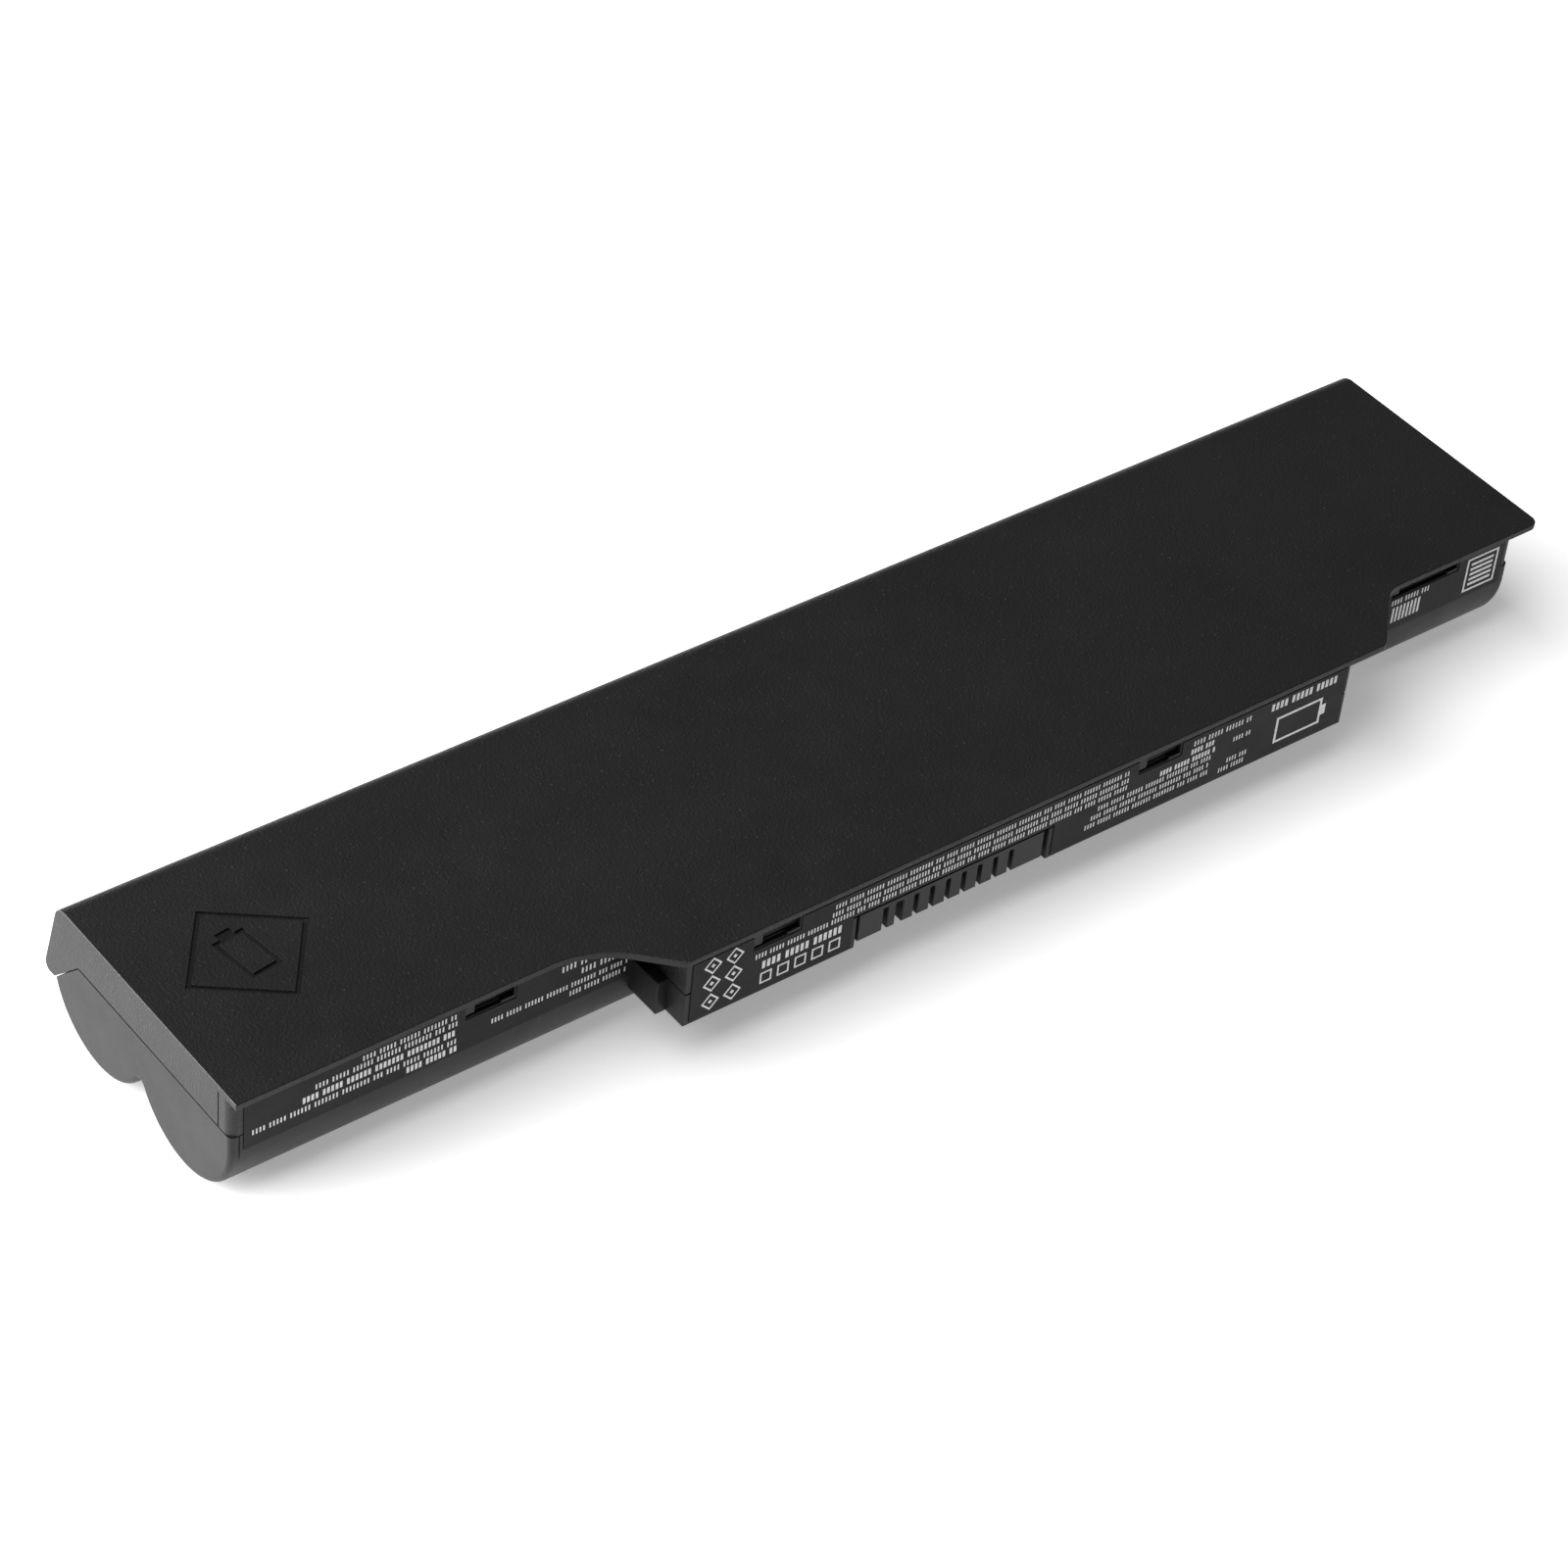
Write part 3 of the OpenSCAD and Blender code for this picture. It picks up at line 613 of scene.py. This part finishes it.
def latch_cutters():
    cutters = []
    for centre, width, height, depth, wall_y in LATCHES:
        z, half, front = TOP - depth, width / 2, wall_y - PAST
        cutters.append(block("latch", (centre - half, front, z),
                             (centre + half, wall_y + WALL - LATCH_BACK, z + height)))
        cutters.append(block("lip", (centre - half - LATCH_LIP, front, z - LATCH_LIP_H),
                             (centre + half - LATCH_LIP_STOP, wall_y + WALL / 2, z + LATCH_JOIN)))
    return cutters


def mark_cutters():
    """A diamond of four strokes round a plain battery outline, sunk into the plate."""
    mid = Vector((X0 + MARK_AT[0], EDGE_Y + MARK_AT[1]))
    turn = Matrix.Rotation(math.radians(MARK_TURN), 2)

    def stroke(centre, size, angle):
        own = Matrix.Rotation(math.radians(angle), 2)
        outline = []
        for sx, sy in [(-1, -1), (1, -1), (1, 1), (-1, 1)]:
            p = mid + turn @ (Vector(centre) + own @ Vector((sx * size[0] / 2, sy * size[1] / 2)))
            outline.append((p.x, p.y))
        return prism("stroke", "z", outline, TOP - MARK_DEPTH, TOP + PAST)

    (width, height), side, line = MARK_CELL, MARK_SIDE, MARK_LINE
    reach = side / 2 * math.sqrt(0.5)
    strokes = [((0, height / 2 + MARK_NUB_RISE), MARK_NUB, 0)]
    for sx, sy in ((1, 1), (-1, 1), (-1, -1), (1, -1)):
        strokes.append(((sx * reach, sy * reach), (side + line, line), -45 * sx * sy))
    for sign in (-1, 1):
        strokes.append(((sign * (width - line) / 2, 0), (line, height), 0))
        strokes.append(((0, sign * (height - line) / 2), (width, line), 0))
    return [stroke(*s) for s in strokes]


# ---------------------------------------------------------------- case shells
def cover_rooms(low):
    """Solids that hollow out the cover above the height low, and clear the rear of its overhang."""
    return [
        block("room", (X0 + WALL, FRONT_Y + WALL, low - PAST), (ROOM_X1, SEAM_TURN_Y - PAST, PLATE_Z)),
        block("bay", (BLOCK_X[0] + WALL, BLOCK_Y + WALL, low - PAST),
              (BLOCK_X[1] - WALL, FRONT_Y + BAY_DEPTH, PLATE_Z)),
        prism("hollow", "x", hollow_outline(), X0 + WALL, ROOM_X1),
        prism("overhang", "x", hollow_outline(), BODY_X1, X1 + PAST)]


def make_cover():
    """Cover plate with its nose, rear curtain and the walls down to the joint line."""
    low = SEAM_Z + SEAM_GAP / 2
    cover = prism("cover_shell", "z", plate_outline(), PLATE_Z, TOP)
    walls = prism("walls", "z", body_plan(), low, PLATE_Z + PLATE_T / 2)
    curtain = prism("curtain", "x", curtain_outline(), X0, X1)
    combine(cover, "UNION", [walls, curtain])
    combine(cover, "DIFFERENCE", cover_rooms(low) + latch_cutters())
    planes = [(2, TOP), (2, PLATE_Z), (1, FRONT_Y), (1, BLOCK_Y)]
    planes += [(0, x) for x in (X0, BODY_X1, X1, *BLOCK_X)]
    round_edges(cover, EDGE_R, 3, planes)
    end_joint = block("end_joint", (X0 - PAST, END_JOINT_Y[0], low - PAST),
                      (X0 + END_JOINT_DEPTH, END_JOINT_Y[1], PLATE_Z))
    combine(cover, "DIFFERENCE", mark_cutters() + [end_joint])
    smooth(cover)
    return cover


def hollow_outline():
    """Y-Z outline of the space inside the rear curtain."""
    front, rear, below = SEAM_TURN_Y - OVERLAP, BACK_Y - CURTAIN_WALL, CURTAIN_Z - PAST
    return [(front, PLATE_Z), (BACK_TOP_Y + SLOPE_WALL_IN, PLATE_Z),
            (BACK_TOP_Y + SLOPE_TURN_IN, PLATE_Z - SLOPE_TURN_DROP),
            (rear, SHOULDER_Z), (rear, below), (front, below)]


def tub_rooms(top):
    """Solids that hollow out the tub and its block, and open the block for the connector."""
    return [
        cell_room("inside", top + PAST),
        block("room", (BLOCK_X[0] + WALL, BLOCK_Y + WALL, BLOCK_Z + WALL),
              (BLOCK_X[1] - WALL, FRONT_Y + BAY_DEPTH, top + PAST)),
        block("recess", (RECESS_X[0], BLOCK_Y - PAST, BLOCK_Z - PAST),
              (RECESS_X[1], RECESS_BACK_Y, top + PAST))]


def make_tub():
    """Double-lobed tub with the lower half of the connector block."""
    top = SEAM_Z - SEAM_GAP / 2
    rail_x = BLOCK_X[0] - RAIL_W
    tub = tub_solid("tub_shell", top)
    bottom = block("block_low", (BLOCK_X[0], BLOCK_Y, BLOCK_Z), (BLOCK_X[1], FRONT_Y + OVERLAP, top))
    rail = block("rail", (rail_x, RAIL_Y, BLOCK_Z), (BLOCK_X[0] + OVERLAP / 2, FRONT_Y + OVERLAP, top))
    combine(bottom, "UNION", [rail])
    combine(tub, "UNION", [bottom])
    combine(tub, "DIFFERENCE", tub_rooms(top))
    planes = [(1, BLOCK_Y), (2, BLOCK_Z), (1, RAIL_Y)]
    planes += [(0, x) for x in (*BLOCK_X, rail_x)]
    round_edges(tub, EDGE_R, 3, planes)
    step = block("step", (STEP_X[0], FRONT_Y - PAST, STEP_Z), (STEP_X[1], FRONT_Y + STEP_DEPTH, top + PAST))
    combine(tub, "DIFFERENCE", [step])
    smooth(tub)
    return tub


# ---------------------------------------------------------------- printed marks
def ink_material():
    m, nodes, links, shader = new_material("white_ink")
    coords = object_coords(nodes)
    patch = noise(nodes, links, coords, INK_PATCH_MM, 3.0)
    tone = mix_colour(nodes, links, remap(nodes, links, patch, 0.35, 0.75), INK_FRESH, INK_WORN)
    links.new(tone, shader.inputs["Base Color"])
    links.new(remap(nodes, links, patch, *MID, 0.45, 0.6), shader.inputs["Roughness"])
    shader.inputs["Specular IOR Level"].default_value = 0.3
    bump(nodes, links, shader, patch, INK_BUMP_MM)
    return m


def tick_row(x0, x1, z, height, bold=False, seed=0):
    """Even ticks in groups of uneven length, standing for a printed line."""
    pitch = height * 0.62
    width = pitch * (0.62 if bold else 0.42)
    ticks, x, left, count = [], x0, 0, seed
    while x + width <= x1:
        if left == 0:
            count += 1
            left = 3 + (count * 7 + seed * 5) % 6
            x += pitch * 0.7
        ticks.append([(x, z - height / 2), (x + width, z - height / 2), (x + width, z + height / 2),
                      (x, z + height / 2)])
        x += pitch
        left -= 1
    return ticks


def bar(x0, z0, x1, z1):
    return [[(x0, z0), (x1, z0), (x1, z1), (x0, z1)]]


def frame_lines(x0, z0, x1, z1, line):
    return (bar(x0, z0, x1, z0 + line) + bar(x0, z1 - line, x1, z1)
            + bar(x0, z0 + line, x0 + line, z1 - line) + bar(x1 - line, z0 + line, x1, z1 - line))


def diamond(x, z, reach, line):
    """Plain diamond outline with a small solid one at its middle."""
    def corners(r):
        return [(x + r, z), (x, z + r), (x - r, z), (x, z - r)]

    outer, inner = corners(reach), corners(reach - line)
    quads = [[outer[i], outer[(i + 1) % 4], inner[(i + 1) % 4], inner[i]] for i in range(4)]
    return quads + [corners(line)]


def make_print(name, label, shapes, ink):
    """Ink shapes, drawn in X and Z, standing slightly proud of a label's face."""
    face = mm(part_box(label)[0].y)
    bm = bmesh.new()
    for shape in shapes:
        front = [bm.verts.new((a * MM, (face - INK_T) * MM, b * MM)) for a, b in shape]
        back = [bm.verts.new((a * MM, (face + INK_T) * MM, b * MM)) for a, b in shape]
        bm.faces.new(front)
        bm.faces.new(back)
        for i in range(len(shape)):
            j = (i + 1) % len(shape)
            bm.faces.new((front[i], front[j], back[j], back[i]))
    bmesh.ops.recalc_face_normals(bm, faces=bm.faces)
    mesh = bpy.data.meshes.new(name)
    bm.to_mesh(mesh)
    bm.free()
    obj = bpy.data.objects.new(name, mesh)
    bpy.context.scene.collection.objects.link(obj)
    keep(obj, ink, "label_film")


def shifted(rows):
    shapes = []
    for i, (x0, x1, z, height, bold) in enumerate(rows):
        shapes += tick_row(X0 + x0, X0 + x1, z, height, bold, i)
    return shapes


# each row: start, end, height on the face, height of its ticks, whether it is bold
LEFT_ROWS = [
    (25.2, 33.1, 12.0, 1.0, True), (2.7, 33.1, 13.3, 0.85, False), (9.9, 33.1, 14.8, 1.0, True),
    (11.8, 33.2, 16.3, 0.85, False), (18.7, 33.3, 17.5, 0.85, False), (50.1, 59.2, 12.5, 0.8, False),
    (38, 59.2, 13.9, 0.8, False), (51.7, 59.0, 15.7, 1.0, False), (48.6, 53, 17.3, 1.0, False)]
BLOCK_ROWS = [
    (73.6, 87.5, 12.9, 1.3, True), (72.6, 136, 14.8, 0.8, False), (85.0, 136.2, 16.0, 0.8, False),
    (85.4, 136, 17.3, 0.8, False), (128.5, 151.1, 10.6, 0.8, False), (129.4, 151.2, 11.9, 0.8, False),
    (130.5, 151.2, 13.2, 0.8, False), (141.3, 151.3, 14.4, 0.9, True), (146.7, 151.5, 15.8, 0.9, True),
    (147, 158.2, 17.2, 0.9, False), (154.6, 158.1, 14.6, 0.8, False), (154.0, 157.9, 11.1, 0.8, False),
    (152.7, 157.8, 9.8, 0.8, False), (161, 174, 17.2, 1.3, True)]
DIAMOND_X = (66.0, 69.5)
DIAMOND_Z = (10.6, 13.8, 16.9)
DIAMOND_REACH = 1.45
DIAMOND_LINE = 0.36
SQUARES = 5
SQUARE_X = 74
SQUARE_Z = (9.6, 11.5)
SQUARE_W = 1.9
SQUARE_PITCH = 2.8
SQUARE_LINE = 0.25
BATTERY_LOW = (163, 10.2)
BATTERY_HIGH = (171.6, 14.8)
BATTERY_LINE = 0.4
BATTERY_TIP_X = 172.4
BATTERY_TIP_Z = (11.6, 13.4)
RIGHT_ROW = (192.6, 200.6, 16.0, 0.9)
BARS = 8
BAR_X = 193.4
BAR_Z = (12.3, 15.0)
BAR_PITCH = 0.72
PANEL_LOW = (207.6, 11.9)
PANEL_HIGH = (213.8, 17.9)
PANEL_LINE = 0.35
PANEL_ROWS = 5
PANEL_MARGIN = (0.9, 0.95)
PANEL_PITCH = 0.9
PANEL_ROW_H = 0.45


def print_left(ink):
    make_print("print_left", "label_left", shifted(LEFT_ROWS), ink)


def print_block(ink):
    shapes = shifted(BLOCK_ROWS)
    for x in DIAMOND_X:
        for z in DIAMOND_Z:
            shapes += diamond(X0 + x, z, DIAMOND_REACH, DIAMOND_LINE)
    for i in range(SQUARES):
        x = X0 + SQUARE_X + i * SQUARE_PITCH
        shapes += frame_lines(x, SQUARE_Z[0], x + SQUARE_W, SQUARE_Z[1], SQUARE_LINE)
    x0, x1 = X0 + BATTERY_LOW[0], X0 + BATTERY_HIGH[0]
    shapes += frame_lines(x0, BATTERY_LOW[1], x1, BATTERY_HIGH[1], BATTERY_LINE)
    shapes += bar(x1, BATTERY_TIP_Z[0], X0 + BATTERY_TIP_X, BATTERY_TIP_Z[1])
    make_print("print_block", "label_block", shapes, ink)


def print_right(ink):
    start, end, z, height = RIGHT_ROW
    shapes = tick_row(X0 + start, X0 + end, z, height)
    for i in range(BARS):
        x = X0 + BAR_X + i * BAR_PITCH
        shapes += bar(x, BAR_Z[0], x + BAR_PITCH / 2, BAR_Z[1])
    x0, z0, x1, z1 = X0 + PANEL_LOW[0], PANEL_LOW[1], X0 + PANEL_HIGH[0], PANEL_HIGH[1]
    shapes += frame_lines(x0, z0, x1, z1, PANEL_LINE)
    side, foot = PANEL_MARGIN
    for i in range(PANEL_ROWS):
        z = z0 + foot + i * PANEL_PITCH
        shapes += bar(x0 + side, z, x1 - side, z + PANEL_ROW_H)
    make_print("print_right", "label_right", shapes, ink)


make_camera()
MATERIALS = make_materials()
paint_nodes(MATERIALS)
keep(make_cover(), MATERIALS["cover_plastic"], "cover_plastic", "upper_cover")
keep(make_tub(), MATERIALS["case_plastic"], "case_plastic", "lower_case")
soften(NODES["connector_housing"], EDGE_R)
INK = ink_material()
print_left(INK)
print_block(INK)
print_right(INK)
make_studio()
